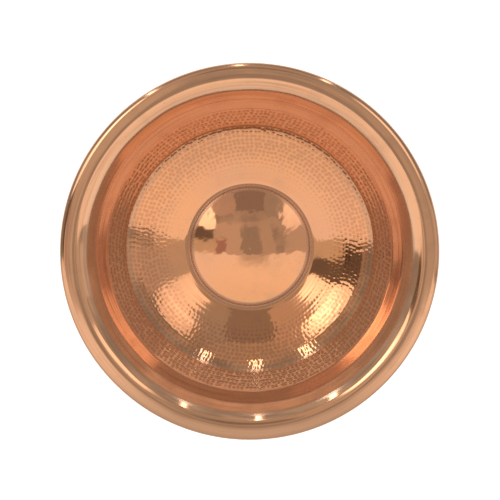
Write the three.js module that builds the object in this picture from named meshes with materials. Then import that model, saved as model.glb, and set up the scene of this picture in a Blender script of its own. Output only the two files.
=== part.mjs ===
import * as THREE from "three";

// A hammered copper bowl, in millimetres, with +Z up and its axis on Z. The origin is the centre of
// the ring-shaped land that it stands on. One disc of sheet is raised into a boss, a floor, a wall and
// a flange, and its edge is rolled under and round a stiffening wire.

// Driving dimensions.
const OUTER_RADIUS = 152.5; // over the rolled edge
const SHEET = 1.1;
const WIRE_RADIUS = 1.6;
const WIRE_CLEARANCE = 0.3; // all round the wire, inside the roll
const WIRE_BUTT_GAP = 1.0; // between the two ends of the wire
const ROLL_STARTS = 30; // degrees down from level, where the flange runs into the roll
const ROLL_ENDS = 310; // degrees, where the turned-in raw edge stops short of the flange

// The roll is a tube of sheet round the wire.
const ROLL_RADIUS = WIRE_RADIUS + WIRE_CLEARANCE + SHEET;
const ROLL_CENTRE = OUTER_RADIUS - ROLL_RADIUS;

// The upper face from the middle outwards: a radius, and the slope there in degrees, where a rising
// face is positive. Between two stations the face is one circular arc, so no station has a kink.
const UPPER_FACE = [
  { radius: 0, slope: 0 }, // crown of the boss
  { radius: 33, slope: -12.8 },
  { radius: 37, slope: -15.5 },
  { radius: 49.4, slope: -17 }, // the boss turns down into its crease
  { radius: 51.6, slope: -46 },
  { radius: 52.2, slope: 0 }, // land that the bowl stands on
  { radius: 53.8, slope: 0 },
  { radius: 54.6, slope: 13 }, // hammered floor
  { radius: 58, slope: 20 },
  { radius: 74, slope: 19.5 },
  { radius: 80, slope: 22 },
  { radius: 83.5, slope: 26.5 },
  { radius: 94, slope: 29.7 },
  { radius: 96, slope: 36.2 },
  { radius: 103.4, slope: 41.5 },
  { radius: 104.2, slope: 48.2 }, // hammered wall
  { radius: 117, slope: 50.5 },
  { radius: 118.2, slope: 56.5 }, // smooth wall, in two bands
  { radius: 124, slope: 58 },
  { radius: 125.2, slope: 53 },
  { radius: 130.9, slope: 53 },
  { radius: 132.3, slope: 45 }, // cove
  { radius: 135, slope: 43 },
  { radius: 136.2, slope: 30 },
  { radius: 138.6, slope: 22 },
  { radius: 140.6, slope: 6 },
  { radius: 142.2, slope: 0 }, // crest
  { radius: 143.5, slope: -3.5 }, // flange
  { radius: 147.6, slope: -4.5 },
  { radius: 148.8, slope: -18 },
  { radius: ROLL_CENTRE + ROLL_RADIUS * sine(ROLL_STARTS), slope: -ROLL_STARTS },
];

// How finely the faces are cut.
const SEGMENTS = 56; // round the bowl
const ARC_TURN = 16; // most degrees that the profile turns in one step
const ARC_LENGTH = 14; // most millimetres across in one step
const ROLL_TURN = 20; // degrees in one step of the roll, which puts a point at its widest
const WIRE_SIDES = 10;

function sine(degrees) {
  return Math.sin(THREE.MathUtils.degToRad(degrees));
}

function cosine(degrees) {
  return Math.cos(THREE.MathUtils.degToRad(degrees));
}

// How far across an arc the face has come once its slope has turned this share of the way.
function shareAcross(from, to, share) {
  if (from.slope === to.slope) return share;
  const slope = THREE.MathUtils.lerp(from.slope, to.slope, share);
  return (sine(slope) - sine(from.slope)) / (sine(to.slope) - sine(from.slope));
}

// Points and slopes along the upper face. An arc rises by its width times the tangent of its mean slope.
function tracedFace(stations) {
  const points = [{ radius: 0, height: 0, slope: 0 }];
  for (let i = 1; i < stations.length; i++) {
    const from = stations[i - 1];
    const to = stations[i];
    const width = to.radius - from.radius;
    const turn = Math.abs(to.slope - from.slope);
    const steps = Math.ceil(Math.max(turn / ARC_TURN, width / ARC_LENGTH));
    for (let step = 1; step <= steps; step++) {
      const last = points.at(-1);
      const share = step / steps;
      const slope = THREE.MathUtils.lerp(from.slope, to.slope, share);
      const radius = from.radius + width * shareAcross(from, to, share);
      const meanSlope = THREE.MathUtils.degToRad((last.slope + slope) / 2);
      const height = last.height + (radius - last.radius) * Math.tan(meanSlope);
      points.push({ radius, height, slope });
    }
  }
  // The underside of the lowest point is the land, at height 0.
  const lowest = Math.min(...points.map((point) => point.height));
  return points.map((point) => ({ ...point, height: point.height - lowest + SHEET }));
}

// The tube of the rolled edge at one distance from the wire's centre, from the flange round to the raw edge.
function tracedRoll(distance, centreHeight) {
  const steps = Math.round((ROLL_ENDS - ROLL_STARTS) / ROLL_TURN);
  return Array.from({ length: steps }, (_, i) => {
    const angle = ROLL_STARTS + ROLL_TURN * (i + 1);
    return new THREE.Vector2(
      ROLL_CENTRE + distance * sine(angle),
      centreHeight + distance * cosine(angle),
    );
  });
}

// One closed body turned round Z from a profile whose points are (radius, height).
function turned(profile) {
  return new THREE.LatheGeometry(profile, SEGMENTS).rotateX(Math.PI / 2);
}

const face = tracedFace(UPPER_FACE);
const wireHeight = face.at(-1).height - ROLL_RADIUS * cosine(ROLL_STARTS);

function bowlShell() {
  const upper = face.map((point) => new THREE.Vector2(point.radius, point.height));
  const lower = face.map(
    (point) =>
      new THREE.Vector2(
        point.radius + SHEET * sine(point.slope),
        point.height - SHEET * cosine(point.slope),
      ),
  );
  const outside = [...upper, ...tracedRoll(ROLL_RADIUS, wireHeight)];
  const inside = [...lower, ...tracedRoll(ROLL_RADIUS - SHEET, wireHeight)];
  const copper = new THREE.MeshStandardMaterial({ color: 0xcf8a5e, roughness: 0.22, metalness: 1 });
  const mesh = new THREE.Mesh(turned([...inside, ...outside.reverse()]), copper);
  mesh.name = "bowl_shell";
  return mesh;
}

// The wire lies in the roll as an open ring, with its two ends butted.
class WireLine extends THREE.Curve {
  getPoint(share, target = new THREE.Vector3()) {
    const radius = ROLL_CENTRE;
    const gap = WIRE_BUTT_GAP / radius;
    const angle = gap / 2 + share * (2 * Math.PI - gap);
    return target.set(radius * Math.cos(angle), radius * Math.sin(angle), 0);
  }
}

function rimWire() {
  const section = new THREE.Shape().absarc(0, 0, WIRE_RADIUS, 0, 2 * Math.PI);
  const geometry = new THREE.ExtrudeGeometry(section, {
    curveSegments: WIRE_SIDES / 2,
    steps: SEGMENTS,
    extrudePath: new WireLine(),
  });
  const iron = new THREE.MeshStandardMaterial({ color: 0x6b6560, roughness: 0.45, metalness: 1 });
  const mesh = new THREE.Mesh(geometry, iron);
  mesh.name = "rim_wire";
  mesh.position.z = wireHeight;
  return mesh;
}

const bowl = new THREE.Group();
bowl.add(bowlShell(), rimWire());

export default bowl;
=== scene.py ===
"""The looks of the hammered copper bowl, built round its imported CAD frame.

The bowl is one sheet of copper, so its visible shell is one closed mesh: the same profile as the CAD
shell, turned finely enough to carry every hammer mark as real shape. Lengths are in metres and angles
in radians, unless a name says otherwise.
"""

import math

import bpy
import numpy as np
from mathutils import Matrix, Vector


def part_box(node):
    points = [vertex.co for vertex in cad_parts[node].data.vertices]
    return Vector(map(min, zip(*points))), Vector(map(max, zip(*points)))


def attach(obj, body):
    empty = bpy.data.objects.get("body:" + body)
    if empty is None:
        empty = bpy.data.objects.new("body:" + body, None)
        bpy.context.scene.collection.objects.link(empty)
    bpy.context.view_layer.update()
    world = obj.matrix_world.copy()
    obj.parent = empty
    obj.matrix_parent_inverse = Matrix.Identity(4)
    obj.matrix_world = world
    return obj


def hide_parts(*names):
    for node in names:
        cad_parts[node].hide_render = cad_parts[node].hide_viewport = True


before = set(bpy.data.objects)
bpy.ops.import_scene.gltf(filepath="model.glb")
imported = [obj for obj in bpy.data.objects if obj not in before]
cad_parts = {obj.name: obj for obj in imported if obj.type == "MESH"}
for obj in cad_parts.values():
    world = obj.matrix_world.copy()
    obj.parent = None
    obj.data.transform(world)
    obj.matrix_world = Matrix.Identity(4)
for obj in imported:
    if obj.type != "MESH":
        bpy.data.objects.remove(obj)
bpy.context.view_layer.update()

MM = 0.001

# The bowl's own sizes, read off the frame.
OUTER_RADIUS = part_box("bowl_shell")[1].x
RIM_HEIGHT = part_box("bowl_shell")[1].z
WIRE_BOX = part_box("rim_wire")
WIRE_RADIUS = (WIRE_BOX[1].z - WIRE_BOX[0].z) / 2
SHEET = 1.1 * MM
WIRE_CLEARANCE = 0.3 * MM
ROLL_RADIUS = WIRE_RADIUS + WIRE_CLEARANCE + SHEET
ROLL_CENTRE = OUTER_RADIUS - ROLL_RADIUS
ROLL_STARTS = math.radians(30)
ROLL_ENDS = math.radians(310)

# The upper face from the middle outwards, as radius in millimetres and slope in degrees. Between two
# stations it is one circular arc.
UPPER_FACE = (
    (0, 0),  # crown of the boss
    (33, -12.8),
    (37, -15.5),
    (49.4, -17),  # the boss turns down into its crease
    (51.6, -46),
    (52.2, 0),  # land that the bowl stands on
    (53.8, 0),
    (54.6, 13),  # hammered floor
    (58, 20),
    (74, 19.5),
    (80, 22),
    (83.5, 26.5),
    (94, 29.7),
    (96, 36.2),
    (103.4, 41.5),
    (104.2, 48.2),  # hammered wall
    (117, 50.5),
    (118.2, 56.5),  # smooth wall, in two bands
    (124, 58),
    (125.2, 53),
    (130.9, 53),
    (132.3, 45),  # cove
    (135, 43),
    (136.2, 30),
    (138.6, 22),
    (140.6, 6),
    (142.2, 0),  # crest
    (143.5, -3.5),  # flange
    (147.6, -4.5),
    (148.8, -18),
    ((ROLL_CENTRE + ROLL_RADIUS * math.sin(ROLL_STARTS)) / MM, -math.degrees(ROLL_STARTS)),
)

# Hammer marks: rows of small round dents that follow the bowl round.
ROW_PITCH = 3.6 * MM
MARK_PITCH = 3.65 * MM
OUTERMOST_ROW = 115.2 * MM
INNERMOST_ROW = 56.5 * MM
MARK_DEPTH = 0.062 * MM
MARKS_FADE_AT = (57, 66, 74, 88, 98, 102, 104.5, 107)  # radius in millimetres
MARKS_FADE_TO = (0.1, 0.25, 0.65, 1.0, 1.1, 0.7, 0.7, 0.9)  # share of the depth there
FACE_ON_FLOOR = 34 * MM  # radius of the domed face of the hammer that was used there
FACE_ON_WALL = 25 * MM

# Narrow rings where the face turns.
FLOOR_TURNS_UP = (103.2 * MM, 104.4 * MM)
WALL_MEETS_COVE = (130.8 * MM, 132.5 * MM)

WANDER = 0.22 * MM  # of the wall off its true circle
CREST_DROP = 0.12 * MM  # of the whole upper face, so that its uneven crest stays below the true one

# Turning marks: how strong they are, as radius in millimetres and share.
TURNED_AT = (54, 57, 74, 86, 112, 117, 130, 147, 150)
TURNED_TO = (0, 1, 1, 0, 0, 0.3, 0.4, 0.6, 0)
TURNING_HEIGHT = 0.0035 * MM
RIPPLE_HEIGHT = 0.0026 * MM  # on the boss
FACET_HEIGHT = 0.008 * MM  # on the outside


# ---------------------------------------------------------------- profile of the sheet


def fine_profile():
    """Radius, height, slope and distance along the upper face, from the axis to the roll, very finely."""
    radii, heights, slopes, along = [0.0], [0.0], [0.0], [0.0]
    for (r0, a0), (r1, a1) in zip(UPPER_FACE, UPPER_FACE[1:]):
        r0, r1, a0, a1 = r0 * MM, r1 * MM, math.radians(a0), math.radians(a1)
        steps = 80
        for k in range(1, steps + 1):
            slope = a0 + (a1 - a0) * k / steps
            if a0 == a1:
                radius = r0 + (r1 - r0) * k / steps
            else:
                turned = (math.sin(slope) - math.sin(a0)) / (math.sin(a1) - math.sin(a0))
                radius = r0 + (r1 - r0) * turned
            across = radius - radii[-1]
            mean = (slope + slopes[-1]) / 2
            heights.append(heights[-1] + across * math.tan(mean))
            along.append(along[-1] + across / math.cos(mean))
            radii.append(radius)
            slopes.append(slope)
    heights = np.array(heights)
    heights += SHEET - heights.min()
    return np.array(radii), heights, np.array(slopes), np.array(along)


RADII, HEIGHTS, SLOPES, ALONG = fine_profile()
WIRE_HEIGHT = float(HEIGHTS[-1]) - ROLL_RADIUS * math.cos(ROLL_STARTS)


def along_at(radius):
    """Distance along the upper face to a radius."""
    return float(np.interp(radius, RADII, ALONG))


def stops(spans):
    """Distances along the upper face, cut into spans of (outer radius in mm, longest step in mm)."""
    cuts, start = [0.0], 0.0
    for outer, step in spans:
        end = along_at(outer * MM)
        count = max(1, math.ceil((end - start) / (step * MM)))
        cuts += [start + (end - start) * (k + 1) / count for k in range(count)]
        start = end
    return np.array(cuts)


# ---------------------------------------------------------------- hammer marks


def hammer_rows():
    """Each row as its distance along the face and its marks' angles, shifts, depths and tilts."""
    rng = np.random.default_rng(1907)
    rows = []
    place = along_at(OUTERMOST_ROW)
    while place > along_at(INNERMOST_ROW):
        radius = float(np.interp(place, ALONG, RADII))
        count = round(2 * math.pi * radius / MARK_PITCH)
        phase = rng.random()
        angles = (np.arange(count) + phase + rng.normal(0, 0.09, count)) * 2 * math.pi / count
        fade = np.interp(radius / MM, MARKS_FADE_AT, MARKS_FADE_TO)
        depth = MARK_DEPTH * fade * rng.uniform(0.85, 1.1)
        rows.append(
            {
                "place": place,
                "phase": phase,
                "angles": angles,
                "shifts": rng.normal(0, 0.28 * MM, count),
                "depths": depth * rng.uniform(0.75, 1.2, count),
                "tilts": rng.normal(0, 0.012 * fade, (2, count)),
            }
        )
        place -= ROW_PITCH * rng.uniform(0.95, 1.05)
    return rows


ROWS = hammer_rows()


def dents(place, angle):
    """How far the marks sink the upper face at one distance along it, and how near each angle is to the
    middle of a mark, from 0 between marks to 1 in the middle."""
    radius = float(np.interp(place, ALONG, RADII))
    face = np.interp(radius / MM, (96, 104), (FACE_ON_FLOOR, FACE_ON_WALL))
    deepest = np.zeros_like(angle)
    nearest = np.ones_like(angle)
    for row in ROWS:
        if abs(row["place"] - place) > 1.6 * ROW_PITCH:
            continue
        count = len(row["angles"])
        first = np.floor(angle / (2 * math.pi) * count - row["phase"]).astype(int)
        for step in (-1, 0, 1, 2):
            mark = (first + step) % count
            turn = angle - row["angles"][mark]
            turn -= 2 * math.pi * np.round(turn / (2 * math.pi))
            round_way = turn * radius
            out_way = place - row["place"] - row["shifts"][mark]
            bowl = (round_way**2 + out_way**2) / (2 * face) - row["depths"][mark]
            bowl += row["tilts"][0][mark] * round_way + row["tilts"][1][mark] * out_way
            deepest = np.minimum(deepest, bowl)
            away = np.abs(2 * round_way / MARK_PITCH) ** 3 + np.abs(2 * out_way / ROW_PITCH) ** 3
            nearest = np.minimum(nearest, away)
    return deepest, (1 - nearest ** (1 / 3)) * np.interp(radius / MM, (66, 90), (0.1, 1.0))


def wander(radius, slope, angle):
    """How far the sheet lies off its true circle, as a move along its normal. Wall and floor wander out
    and in by a few tenths of a millimetre, and the roll at the rim is true."""
    rng = np.random.default_rng(17)
    outwards = np.zeros_like(angle)
    for order in (3, 5, 8, 12, 17, 23):
        outwards += np.cos(order * angle + rng.uniform(0, 2 * math.pi)) / order**0.5
    share = np.interp(radius / MM, (60, 85, 132, 140), (0, 1, 1, 0))
    return -math.sin(slope) * outwards * share * WANDER


def unevenness(radius, angle):
    """The slow waves that handwork leaves in the sheet, as a height for one radius and many angles."""
    rng = np.random.default_rng(31)
    height = np.zeros_like(angle) - CREST_DROP * np.interp(radius / MM, (142, 150), (1, 0))
    for centre, width, size, orders in (
        (139, 6, 0.05, (5, 8, 13, 19, 26)),  # crest
        (124, 7, 0.10, (4, 7, 11, 17, 24, 33)),  # smooth wall
        (90, 26, 0.06, (3, 5, 9, 14, 22)),  # floor
    ):
        window = math.exp(-(((radius / MM - centre) / width) ** 2))
        for order in orders:
            phase = rng.uniform(0, 2 * math.pi)
            height += window * size * MM / len(orders) ** 0.5 * np.cos(order * angle + phase)
    return height


def turning_marks(place, radius, angle):
    """Faint ridges that run round the bowl, on the bare floor by the boss, the smooth wall and the cove."""
    rng = np.random.default_rng(52)
    share = np.interp(radius / MM, TURNED_AT, TURNED_TO)
    height = np.zeros_like(angle)
    if share == 0:
        return height
    for _ in range(16):
        length = rng.uniform(2.4, 7.0) * MM
        order = rng.integers(-7, 8)
        height += np.cos(2 * math.pi * place / length + order * angle + rng.uniform(0, 2 * math.pi))
    return height * share * TURNING_HEIGHT


def boss_ripples(radius, angle):
    """The small ripples that planishing leaves on the boss."""
    rng = np.random.default_rng(64)
    share = np.interp(radius / MM, (0, 45, 49), (1, 1, 0))
    height = np.zeros_like(angle)
    if share == 0:
        return height
    for _ in range(30):
        length = rng.uniform(2.2, 9.0) * MM
        heading = rng.uniform(0, 2 * math.pi)
        ahead = radius * np.cos(angle - heading)
        height += length / (6 * MM) * np.cos(2 * math.pi * ahead / length + rng.uniform(0, 2 * math.pi))
    return height * share * RIPPLE_HEIGHT


# ---------------------------------------------------------------- the shell's mesh


RIM_DIVISIONS = 480


def divisions(radius):
    """How many vertices go round a ring of the upper face."""
    for outer, count in ((2.5, 30), (5, 60), (11, 120), (24, 240), (50, 480), (124, 960)):
        if radius < outer * MM:
            return count
    return RIM_DIVISIONS


def ring_points(radius, height, count, lift=None, slope=0.0):
    """One ring of vertices, each moved along the face's normal by its lift, with how dented each is."""
    angle = np.arange(count) * 2 * math.pi / count
    lift, dented = (np.zeros(count), np.zeros(count)) if lift is None else lift(angle)
    out = radius - math.sin(slope) * lift
    up = height + math.cos(slope) * lift
    return np.stack([out * np.cos(angle), out * np.sin(angle), up, dented], axis=1)


def upper_rings():
    spans = ((48, 0.9), (58, 0.4), (118, 0.65), (127, 0.8), (140, 0.8), (147, 0.9), (151.5, 0.4))
    rings = []
    for place in stops(spans)[1:]:
        radius, height, slope = (float(np.interp(place, ALONG, v)) for v in (RADII, HEIGHTS, SLOPES))

        def lift(angle, place=place, radius=radius, slope=slope):
            sunk, dented = dents(place, angle)
            slow = wander(radius, slope, angle) + unevenness(radius, angle)
            fine = turning_marks(place, radius, angle) + boss_ripples(radius, angle)
            return sunk + slow + fine, dented

        rings.append(ring_points(radius, height, divisions(radius), lift, slope))
    return rings


def roll_rings():
    """The rolled edge: round its outside, over the filed raw edge, and back round its inside."""
    edge = SHEET / 2
    middle = ROLL_RADIUS - edge
    last = ROLL_ENDS - edge / middle
    outside = np.linspace(ROLL_STARTS, last, 26)[1:]
    rings = []
    for angle in outside:
        rings.append((ROLL_RADIUS, angle, 0.0))
    for turn in np.linspace(0, math.pi, 7)[1:-1]:
        rings.append((middle + edge * math.cos(turn), last, edge * math.sin(turn)))
    for angle in outside[::-1]:
        rings.append((ROLL_RADIUS - SHEET, angle, 0.0))
    made = []
    for distance, angle, ahead in rings:
        radius = ROLL_CENTRE + distance * math.sin(angle) + ahead * math.cos(angle)
        height = WIRE_HEIGHT + distance * math.cos(angle) - ahead * math.sin(angle)
        made.append(ring_points(radius, height, RIM_DIVISIONS))
    return made


def planished(place, angle):
    """Broad, faint facets on the outside, from working the sheet over a stake."""
    rng = np.random.default_rng(88)
    height = np.zeros_like(angle)
    for _ in range(18):
        order = rng.integers(18, 75)
        along_rate = rng.uniform(250, 800)
        height += np.cos(order * angle + along_rate * place * rng.choice((-1, 1)) + rng.uniform(0, 6.3))
    return height * FACET_HEIGHT


def lower_rings():
    spans = ((48, 2.4), (58, 0.7), (127, 1.8), (140, 1.2), (147, 1.6), (151.0, 0.7))
    rings = []
    for place in stops(spans)[1:][::-1]:
        radius, height, slope = (float(np.interp(place, ALONG, v)) for v in (RADII, HEIGHTS, SLOPES))
        count = min(divisions(radius), RIM_DIVISIONS)

        def lift(angle, place=place, radius=radius, slope=slope):
            on_land = 50 * MM < radius < 58 * MM
            nothing = np.zeros_like(angle)
            return nothing if on_land else planished(place, angle) + wander(radius, slope, angle), nothing

        out, up = radius + SHEET * math.sin(slope), height - SHEET * math.cos(slope)
        rings.append(ring_points(out, up, count, lift, slope))
    return rings


def joined(rings, first_point, last_point):
    """Vertices, quads and triangles of the closed skin through the rings, from pole to pole."""
    points = np.concatenate([first_point, *rings, last_point])
    starts = np.cumsum([1] + [len(ring) for ring in rings])
    quads, triangles = [], []
    for ring, following, a, b in zip(rings, rings[1:], starts, starts[1:]):
        n, m = len(ring), len(following)
        few = np.arange(min(n, m))
        after = (few + 1) % len(few)
        if n == m:
            quads.append(np.stack([a + few, a + after, b + after, b + few], axis=1))
            continue
        # Twice as many on one side: each long edge meets two short ones.
        near, far, middle = 2 * few, (2 * few + 2) % (2 * len(few)), 2 * few + 1
        if n < m:
            triangles.append(np.stack([a + few, b + middle, b + near], axis=1))
            triangles.append(np.stack([a + few, a + after, b + middle], axis=1))
            triangles.append(np.stack([a + after, b + far, b + middle], axis=1))
        else:
            triangles.append(np.stack([a + near, a + middle, b + few], axis=1))
            triangles.append(np.stack([a + middle, b + after, b + few], axis=1))
            triangles.append(np.stack([a + middle, a + far, b + after], axis=1))
    for pole, ring, start in ((0, rings[0], starts[0]), (len(points) - 1, rings[-1], starts[-2])):
        edge = np.arange(len(ring))
        after = (edge + 1) % len(ring)
        pole = np.full(len(ring), pole)
        if start == starts[0]:
            triangles.append(np.stack([pole, start + after, start + edge], axis=1))
        else:
            triangles.append(np.stack([pole, start + edge, start + after], axis=1))
    return points, np.concatenate(quads), np.concatenate(triangles)


def new_mesh(name, points, quads, triangles):
    """A smooth-shaded mesh object from arrays whose faces are wound inwards and get turned outwards."""
    mesh = bpy.data.meshes.new(name)
    corners = np.concatenate([quads[:, ::-1].ravel(), triangles[:, ::-1].ravel()])
    sizes = np.concatenate([np.full(len(quads), 4), np.full(len(triangles), 3)])
    mesh.vertices.add(len(points))
    mesh.vertices.foreach_set("co", points[:, :3].astype(np.float32).ravel())
    mesh.loops.add(len(corners))
    mesh.loops.foreach_set("vertex_index", corners.astype(np.int32))
    mesh.polygons.add(len(sizes))
    mesh.polygons.foreach_set("loop_start", np.concatenate([[0], np.cumsum(sizes)[:-1]]).astype(np.int32))
    mesh.polygons.foreach_set("use_smooth", np.ones(len(sizes), bool))
    mesh.update(calc_edges=True)
    dented = mesh.attributes.new("dented", "FLOAT", "POINT")
    dented.data.foreach_set("value", points[:, 3].astype(np.float32))
    mesh.validate()
    made = bpy.data.objects.new(name, mesh)
    bpy.context.scene.collection.objects.link(made)
    return made


def hammered_shell():
    rings = upper_rings() + roll_rings() + lower_rings()
    top = np.array([[0, 0, HEIGHTS[0], 0]])
    under = np.array([[0, 0, HEIGHTS[0] - SHEET, 0]])
    return new_mesh("hammered_bowl", *joined(rings, top, under))


# ---------------------------------------------------------------- materials


def node(tree, kind, inputs=None, **settings):
    """A shader node with its settings, and its inputs as values or as links from other sockets."""
    made = tree.nodes.new(kind)
    for name, value in settings.items():
        setattr(made, name, value)
    for name, value in (inputs or {}).items():
        if isinstance(value, bpy.types.NodeSocket):
            tree.links.new(value, made.inputs[name])
        else:
            made.inputs[name].default_value = value
    return made


def maths(tree, operation, *values):
    return node(tree, "ShaderNodeMath", dict(enumerate(values)), operation=operation).outputs[0]


def new_material(name):
    material = bpy.data.materials.new(name)
    material.use_nodes = True
    tree = material.node_tree
    tree.nodes.clear()
    shader = node(tree, "ShaderNodeBsdfPrincipled")
    node(tree, "ShaderNodeOutputMaterial", {"Surface": shader.outputs[0]})
    return material, tree, shader


def blend_colours(tree, share, first, second):
    return node(tree, "ShaderNodeMix", {0: share, 6: first, 7: second}, data_type="RGBA").outputs[2]


def ramp(tree, value, low, high, start=0.0, end=1.0, kind="SMOOTHSTEP"):
    inputs = {0: value, 1: low, 2: high, 3: start, 4: end}
    return node(tree, "ShaderNodeMapRange", inputs, interpolation_type=kind).outputs[0]


def band(tree, radius, low, high, soft):
    """1 on a ring between two radii, fading out over a soft edge on each side."""
    inner = ramp(tree, radius, low - soft, low)
    outer = ramp(tree, radius, high, high + soft, 1.0, 0.0)
    return maths(tree, "MULTIPLY", inner, outer)


# Colours of the copper, as linear light. Their order is red, green, blue, alpha. They were tuned with the
# surroundings below in place, so part of a zone's shade may belong to its reflections.
FLOOR_PALE = (0.87, 0.415, 0.225, 1)
FLOOR_WARM = (0.94, 0.425, 0.20, 1)
FLOOR_DENT = (0.70, 0.30, 0.15, 1)
WALL_RIDGE = (0.82, 0.53, 0.365, 1)
WALL_DENT = (0.61, 0.365, 0.24, 1)
COVE = (0.91, 0.475, 0.265, 1)
FLANGE = (0.86, 0.455, 0.262, 1)
# Painted reflections: two brown rings that stand in for dark surroundings mirrored on the wall.
PAINTED_REFLECTION_BELOW_WALL = (0.50, 0.31, 0.20, 1)
PAINTED_REFLECTION_ABOVE_WALL = (0.68, 0.40, 0.25, 1)
# Painted shade on the flange's -Y side, for a darker reflection there:
FLANGE_NEAR_SIDE_SHADE = (0.50, 0.28, 0.165, 1)
TARNISH = (0.62, 0.33, 0.20, 1)
STREAK = (0.56, 0.29, 0.18, 1)
SPECK = (0.35, 0.17, 0.10, 1)
CREASE = (0.33, 0.24, 0.18, 1)
# Painted shade on the outer curve of the roll, for the dark reflection it shows:
PAINTED_SHADE_EDGE = (0.36, 0.21, 0.135, 1)

# Radii between which one colour runs into the next, in metres.
INTO_WALL = (0.102, 0.107)
INTO_SMOOTH_WALL = (0.114, 0.119)
FILM_ENDS = (0.130, 0.133)
INTO_COVE = (0.130, 0.136)
INTO_FLANGE = (0.141, 0.143)
INTO_SHADED_FLANGE = (0.1415, 0.1430)
INTO_SHADED_EDGE = (0.1500, 0.1517)


def copper_tint(tree, place, radius, fine, in_crease, edge, near_side_shade):
    """The copper's colour: zones from the floor to the rim with painted reflections, painted shade on the
    flange, then tarnish, streaks, specks, dirt and painted shade at the edge.
    """
    dented = node(tree, "ShaderNodeAttribute", attribute_name="dented").outputs["Fac"]
    broad = node(tree, "ShaderNodeTexNoise", {"Vector": place, "Scale": 9.0, "Detail": 4.0}).outputs[0]
    specks = node(tree, "ShaderNodeTexNoise", {"Vector": place, "Scale": 700.0, "Detail": 2.0}).outputs[0]
    in_dent = ramp(tree, dented, 0.0, 0.4, 0.0, 0.85)

    tint = blend_colours(tree, ramp(tree, broad, 0.35, 0.65), FLOOR_PALE, FLOOR_WARM)
    tint = blend_colours(tree, in_dent, tint, FLOOR_DENT)
    wall = blend_colours(tree, in_dent, WALL_RIDGE, WALL_DENT)
    tint = blend_colours(tree, ramp(tree, radius, *INTO_WALL), tint, wall)
    tint = blend_colours(tree, ramp(tree, radius, *INTO_COVE), tint, COVE)
    tint = blend_colours(tree, ramp(tree, radius, *INTO_FLANGE), tint, FLANGE)
    # Painted reflections: a brown ring at the foot of the hammered wall and one below the cove stand in for
    # dark surroundings mirrored there.
    reflection_band = maths(tree, "MULTIPLY", band(tree, radius, 0.1000, 0.1040, 0.0015), 0.4)
    tint = blend_colours(tree, reflection_band, tint, PAINTED_REFLECTION_BELOW_WALL)
    reflection_band = maths(tree, "MULTIPLY", band(tree, radius, 0.1285, 0.1315, 0.0030), 0.55)
    tint = blend_colours(tree, reflection_band, tint, PAINTED_REFLECTION_ABOVE_WALL)

    # Painted shade: the flange's -Y side is darkened, as a painted darker reflection.
    tint = blend_colours(tree, maths(tree, "MULTIPLY", near_side_shade, 0.8), tint, FLANGE_NEAR_SIDE_SHADE)
    tint = blend_colours(tree, ramp(tree, fine, 0.5, 0.75, 0.0, 0.3), tint, TARNISH)
    tint = blend_colours(tree, streaks(tree, place, radius), tint, STREAK)
    tint = blend_colours(tree, ramp(tree, specks, 0.68, 0.74, 0.0, 0.4), tint, SPECK)
    grimy = maths(tree, "MULTIPLY", in_crease, ramp(tree, broad, 0.35, 0.65, 0.25, 0.65))
    tint = blend_colours(tree, grimy, tint, CREASE)
    # Painted shade: the outer curve of the roll is darkened.
    return blend_colours(tree, edge, tint, PAINTED_SHADE_EDGE)


def streaks(tree, place, radius):
    """Fine streaks that run round the bowl, on the smooth wall and outside it, from 0 to 1."""
    sides = node(tree, "ShaderNodeSeparateXYZ", {0: place}).outputs
    round_about = node(tree, "ShaderNodeCombineXYZ", {
        0: maths(tree, "MULTIPLY", radius, 520.0),
        1: maths(tree, "MULTIPLY", sides["X"], 11.0),
        2: maths(tree, "MULTIPLY", sides["Y"], 11.0),
    }).outputs[0]
    noise = node(tree, "ShaderNodeTexNoise", {"Vector": round_about, "Scale": 1.0, "Detail": 4.0}).outputs[0]
    streaked = ramp(tree, noise, 0.48, 0.72, 0.0, 0.5)
    return maths(tree, "MULTIPLY", streaked, ramp(tree, radius, *INTO_SMOOTH_WALL))


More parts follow.
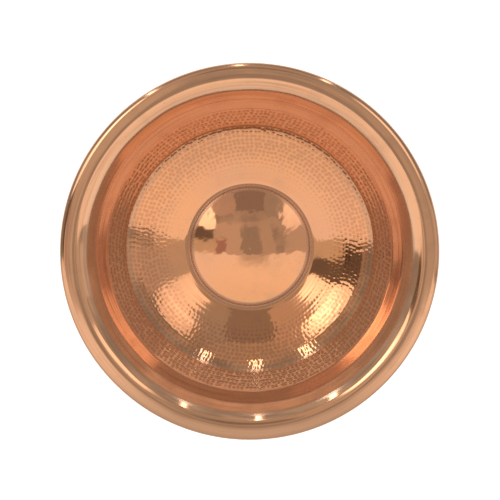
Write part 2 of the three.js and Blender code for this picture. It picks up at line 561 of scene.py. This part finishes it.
def copper():
    material, tree, shader = new_material("hammered_copper")
    place = node(tree, "ShaderNodeTexCoord").outputs["Object"]
    sides = node(tree, "ShaderNodeSeparateXYZ", {0: place}).outputs
    flat = node(tree, "ShaderNodeVectorMath", {0: place, 1: (1, 1, 0)}, operation="MULTIPLY").outputs[0]
    radius = node(tree, "ShaderNodeVectorMath", {0: flat}, operation="LENGTH").outputs["Value"]
    fine = node(tree, "ShaderNodeTexNoise", {"Vector": place, "Scale": 60.0, "Detail": 6.0}).outputs[0]
    in_crease = band(tree, radius, 0.0490, 0.0530, 0.0014)
    # Painted shade: the outer curve of the roll is painted darker and made rougher, for the dark reflection
    # it shows.
    edge = ramp(tree, radius, *INTO_SHADED_EDGE, 0.0, 0.8)
    # Painted shade: the flange is painted darker and made rougher towards -Y, standing in for a darker
    # reflection there.
    near_side = ramp(tree, sides["Y"], -0.08, -0.14)
    near_side_shade = maths(tree, "MULTIPLY", ramp(tree, radius, *INTO_SHADED_FLANGE), near_side)
    tint = copper_tint(tree, place, radius, fine, in_crease, edge, near_side_shade)
    tree.links.new(tint, shader.inputs["Base Color"])

    # A thin film makes the wall and the crease a little less metallic.
    filmed = maths(tree, "MULTIPLY", ramp(tree, radius, *INTO_WALL), ramp(tree, radius, *FILM_ENDS, 1.0, 0.0))
    filmed = maths(tree, "MULTIPLY_ADD", in_crease, 3.0, filmed)
    tree.links.new(maths(tree, "MULTIPLY_ADD", filmed, -0.15, 1.0), shader.inputs["Metallic"])

    turns = band(tree, radius, *FLOOR_TURNS_UP, 0.001)
    turns = maths(tree, "MAXIMUM", turns, band(tree, radius, *WALL_MEETS_COVE, 0.001))
    turns = maths(tree, "MULTIPLY", turns, 2.0)
    dull = maths(tree, "MAXIMUM", turns, band(tree, radius, 0.118, 0.130, 0.003))
    dull = maths(tree, "MAXIMUM", dull, maths(tree, "MULTIPLY", edge, 3.0))
    dull = maths(tree, "MAXIMUM", dull, maths(tree, "MULTIPLY", near_side_shade, 1.5))
    dull = maths(tree, "MAXIMUM", dull, ramp(tree, radius, 0.132, 0.138, 0.0, 0.8))
    dull = maths(tree, "MULTIPLY_ADD", in_crease, 3.0, dull)
    rough = maths(tree, "MULTIPLY_ADD", dull, 0.05, ramp(tree, fine, 0.3, 0.7, 0.04, 0.09))
    tree.links.new(rough, shader.inputs["Roughness"])
    return material


def iron():
    material, tree, shader = new_material("iron_wire")
    place = node(tree, "ShaderNodeTexCoord").outputs["Object"]
    cloud = node(tree, "ShaderNodeTexNoise", {"Vector": place, "Scale": 420.0, "Detail": 4.0}).outputs[0]
    tint = blend_colours(tree, cloud, (0.16, 0.13, 0.11, 1), (0.30, 0.28, 0.26, 1))
    tree.links.new(tint, shader.inputs["Base Color"])
    shader.inputs["Metallic"].default_value = 1.0
    rough = ramp(tree, cloud, 0.3, 0.7, 0.35, 0.6, "LINEAR")
    tree.links.new(rough, shader.inputs["Roughness"])
    return material


def white_floor():
    material, _, shader = new_material("studio_floor")
    shader.inputs["Base Color"].default_value = (0.86, 0.86, 0.86, 1)
    shader.inputs["Roughness"].default_value = 0.9
    shader.inputs["Emission Color"].default_value = (1, 1, 1, 1)
    shader.inputs["Emission Strength"].default_value = 0.62
    return material


# ---------------------------------------------------------------- studio


def tall_light(name, turn, polar):
    """A tall lamp that faces the bowl. It stands turned round from +Y towards +X, and tipped from
    straight up by its polar angle."""
    width, height = LAMP_SIZE
    light = bpy.data.lights.new(name, "AREA")
    light.shape = "RECTANGLE"
    light.size, light.size_y = width, height
    light.energy = LAMP_RADIANCE * math.pi * width * height
    made = bpy.data.objects.new(name, light)
    turn, polar = math.radians(turn), math.radians(polar)
    level = Vector((math.sin(turn), math.cos(turn), 0))
    towards = math.sin(polar) * level + math.cos(polar) * Vector((0, 0, 1))
    right = Vector((math.cos(turn), -math.sin(turn), 0))
    frame_turn = Matrix((right, towards.cross(right), towards)).transposed().to_4x4()
    made.matrix_world = Matrix.Translation(Vector((0, 0, RIM_HEIGHT)) + LAMP_DISTANCE * towards) @ frame_turn
    made.visible_camera = False
    bpy.context.scene.collection.objects.link(made)


# What the room above the table looks like from the bowl, as flat patches. This is busier than plain
# studio light, because polished copper shows what it mirrors. It roughly follows the room that the bowl
# reflects in the reference picture, without its people: places and colours were set from those
# reflections. Across and up are tangents of the angle from straight out. Each patch has its corners,
# clockwise, and its colour as light.
ROOM = (
    (((-0.70, 1.80), (0.70, 1.80), (0.70, 1.05), (-0.70, 1.05)), (0.44, 0.43, 0.40)),
    (((-0.64, 0.92), (-0.20, 0.92), (-0.20, 0.33), (-0.64, 0.33)), (0.53, 0.48, 0.45)),  # pale wall
    (((-0.20, 0.85), (0.19, 0.85), (0.19, 0.36), (-0.20, 0.36)), (0.29, 0.28, 0.275)),  # doorway
    (((-0.24, 1.00), (0.24, 1.00), (0.20, 0.74), (-0.20, 0.74)), (0.43, 0.41, 0.38)),
    (((0.19, 0.90), (0.50, 0.90), (0.42, 0.28), (0.19, 0.28)), (0.39, 0.40, 0.40)),
    (((-0.30, 0.22), (0.26, 0.22), (0.34, -0.22), (-0.36, -0.22)), (0.52, 0.50, 0.46)),
    (((-0.10, 0.16), (0.09, 0.16), (0.16, -0.22), (-0.12, -0.22)), (0.36, 0.36, 0.35)),
    (((-0.50, 0.20), (-0.12, 0.20), (-0.12, -0.22), (-0.50, -0.22)), (0.60, 0.57, 0.52)),
    (((-1.00, 0.19), (-0.50, 0.11), (-0.50, -0.02), (-1.00, -0.02)), (0.17, 0.155, 0.14)),  # shelf
    (((-1.60, 0.26), (-0.95, 0.18), (-0.95, -0.30), (-1.60, -0.30)), (0.16, 0.145, 0.13)),
    (((-1.12, 0.02), (-0.84, 0.02), (-0.84, -0.13), (-1.12, -0.13)), (0.10, 0.09, 0.08)),
    (((-0.82, -0.02), (-0.46, -0.02), (-0.46, -0.22), (-0.82, -0.22)), (0.64, 0.60, 0.50)),  # box
    (((-0.45, 0.00), (-0.31, 0.00), (-0.31, -0.18), (-0.45, -0.18)), (0.42, 0.30, 0.30)),  # red cloth
    (((0.46, 0.08), (1.50, 0.52), (1.50, -0.25), (0.46, -0.25)), (0.56, 0.54, 0.50)),  # cupboard
    (((1.30, 0.20), (30.0, 4.00), (30.0, -5.00), (1.30, -0.30)), (0.62, 0.60, 0.57)),  # beside the table
    (((-30.0, 4.00), (-1.60, 0.20), (-1.60, -0.30), (-30.0, -5.00)), (0.33, 0.32, 0.30)),
    (((0.62, 0.08), (0.90, 0.14), (0.90, -0.14), (0.62, -0.14)), (0.56, 0.54, 0.50)),
    (((-1.32, 0.60), (-0.76, 0.93), (-0.55, 0.66), (-0.49, 0.13), (-1.32, 0.24)), (1.5, 1.5, 1.42)),
    (((0.42, 0.48), (0.70, 0.90), (1.12, 0.68), (0.97, 0.28), (0.47, 0.09)), (1.05, 1.02, 0.95)),
)
GLOWS = ((-0.75, 0.51, 1.6), (0.66, 0.475, 0.4))  # brightest part of each window: across, up, brightness
GLOW_REACH = 0.34

# The table, which the bowl mirrors below the level of its far edge.
TABLE_FAR = (0.98, 0.96, 0.92, 1)
TABLE_NEAR = (0.84, 0.83, 0.80, 1)
TABLE_SHADED = (0.36, 0.35, 0.34, 1)
ABOVE_TABLE = (0, 0.981, 0.195)  # square to the plane through the bowl and the table's far edge
RIGHT_END, LEFT_END = 0.28, -0.15  # how soon the table ends towards +X and towards -X

# Three tall lamps, as turn and polar angle in degrees.
LAMPS = ((-35, 68), (-4, 71), (26, 69))
LAMP_DISTANCE = 2.2
LAMP_SIZE = (0.09, 1.3)
LAMP_RADIANCE = 3.6


def patch(tree, across, up, corners):
    """How far a direction lies inside one patch of the room, from 0 to 1."""
    soft = 0.015
    inside = None
    for (x0, y0), (x1, y1) in zip(corners, corners[1:] + corners[:1]):
        length = math.hypot(x1 - x0, y1 - y0)
        right, above = (y1 - y0) / length, -(x1 - x0) / length
        deep = maths(tree, "MULTIPLY_ADD", across, right, -right * x0 - above * y0)
        deep = maths(tree, "MULTIPLY_ADD", up, above, deep)
        mask = ramp(tree, deep, -soft, soft)
        inside = mask if inside is None else maths(tree, "MINIMUM", inside, mask)
    return inside


def surroundings():
    """A pale table below and a dim room above, which the copper mirrors. The camera sees a pale backdrop."""
    world = bpy.data.worlds.new("studio")
    bpy.context.scene.world = world
    world.use_nodes = True
    tree = world.node_tree
    tree.nodes.clear()
    way = node(tree, "ShaderNodeTexCoord").outputs["Generated"]
    parts = node(tree, "ShaderNodeSeparateXYZ", {0: way}).outputs
    ahead = maths(tree, "MAXIMUM", parts["Z"], 0.05)
    across = maths(tree, "DIVIDE", parts["X"], ahead)
    up = maths(tree, "DIVIDE", parts["Y"], ahead)
    cloud = node(tree, "ShaderNodeTexNoise", {"Vector": way, "Scale": 3.2, "Detail": 3.0}).outputs[0]
    light = blend_colours(tree, ramp(tree, cloud, 0.35, 0.65), (0.33, 0.33, 0.32, 1), (0.50, 0.49, 0.46, 1))
    for corners, colour in ROOM:
        light = blend_colours(tree, patch(tree, across, up, corners), light, (*colour, 1))
    for glow_across, glow_up, brightness in GLOWS:
        beside = maths(tree, "SUBTRACT", across, glow_across)
        above = maths(tree, "SUBTRACT", up, glow_up)
        away = node(tree, "ShaderNodeCombineXYZ", {0: beside, 1: above}).outputs[0]
        distance = node(tree, "ShaderNodeVectorMath", {0: away}, operation="LENGTH").outputs["Value"]
        glow = ramp(tree, distance, 0.0, GLOW_REACH, brightness, 0.0)
        light = node(tree, "ShaderNodeVectorMath", {0: light, 1: glow}, operation="ADD").outputs[0]
    level = node(tree, "ShaderNodeVectorMath", {0: way, 1: ABOVE_TABLE}, operation="DOT_PRODUCT")
    level = level.outputs["Value"]
    right_end = maths(tree, "MULTIPLY", parts["X"], RIGHT_END)
    left_end = maths(tree, "MULTIPLY", parts["X"], LEFT_END)
    end = maths(tree, "ADD", maths(tree, "MAXIMUM", right_end, left_end), parts["Y"])
    level = maths(tree, "MAXIMUM", level, end)
    table = blend_colours(tree, ramp(tree, level, -0.75, -0.2), TABLE_NEAR, TABLE_FAR)
    from_middle = maths(tree, "ABSOLUTE", maths(tree, "SUBTRACT", parts["X"], 0.04))
    in_middle = ramp(tree, from_middle, 0.08, 0.24, 0.6, 0.0)
    shaded = maths(tree, "MULTIPLY", in_middle, ramp(tree, level, -0.2, -0.02))
    table = blend_colours(tree, shaded, table, TABLE_SHADED)
    light = blend_colours(tree, ramp(tree, level, 0.006, -0.006), light, table)
    seen = node(tree, "ShaderNodeLightPath").outputs["Is Camera Ray"]
    light = blend_colours(tree, seen, light, (0.93, 0.93, 0.93, 1))
    shade = node(tree, "ShaderNodeBackground", {"Color": light})
    node(tree, "ShaderNodeOutputWorld", {"Surface": shade.outputs[0]})


def studio():
    surroundings()
    for number, (turn, polar) in enumerate(LAMPS):
        tall_light(f"light_{number}", turn, polar)
    bpy.ops.mesh.primitive_plane_add(size=8)
    floor = bpy.context.object
    floor.name = "studio_floor"
    floor.data.materials.append(white_floor())


PICTURE_WIDTH = 0.4002  # at the rim's distance, in metres


def photographer():
    """The camera, nearly over the bowl and a little towards +Y."""
    distance, right_of, above = 0.900, math.radians(0.5), math.radians(6.5)
    away = Vector((math.sin(right_of), math.sin(above), math.cos(above))).normalized()
    rim = Vector((0, 0, RIM_HEIGHT))
    right = Vector((0, 1, 0)).cross(away).normalized()
    up = away.cross(right)
    aim = rim + 0.54 * MM * right + 4.26 * MM * up
    place = rim + distance * away
    back = (place - aim).normalized()
    right = Vector((0, 1, 0)).cross(back).normalized()
    up = back.cross(right)
    data = bpy.data.cameras.new("camera")
    data.sensor_width = 36
    data.lens = data.sensor_width * distance / PICTURE_WIDTH
    made = bpy.data.objects.new("camera", data)
    made.matrix_world = Matrix.Translation(place) @ Matrix((right, up, back)).transposed().to_4x4()
    bpy.context.scene.collection.objects.link(made)
    bpy.context.scene.camera = made


shell = hammered_shell()
shell.data.materials.append(copper())
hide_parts("bowl_shell")
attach(shell, "root")
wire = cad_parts["rim_wire"]
wire.data.materials.clear()
wire.data.materials.append(iron())

photographer()
studio()
bpy.context.scene.view_settings.view_transform = "Standard"
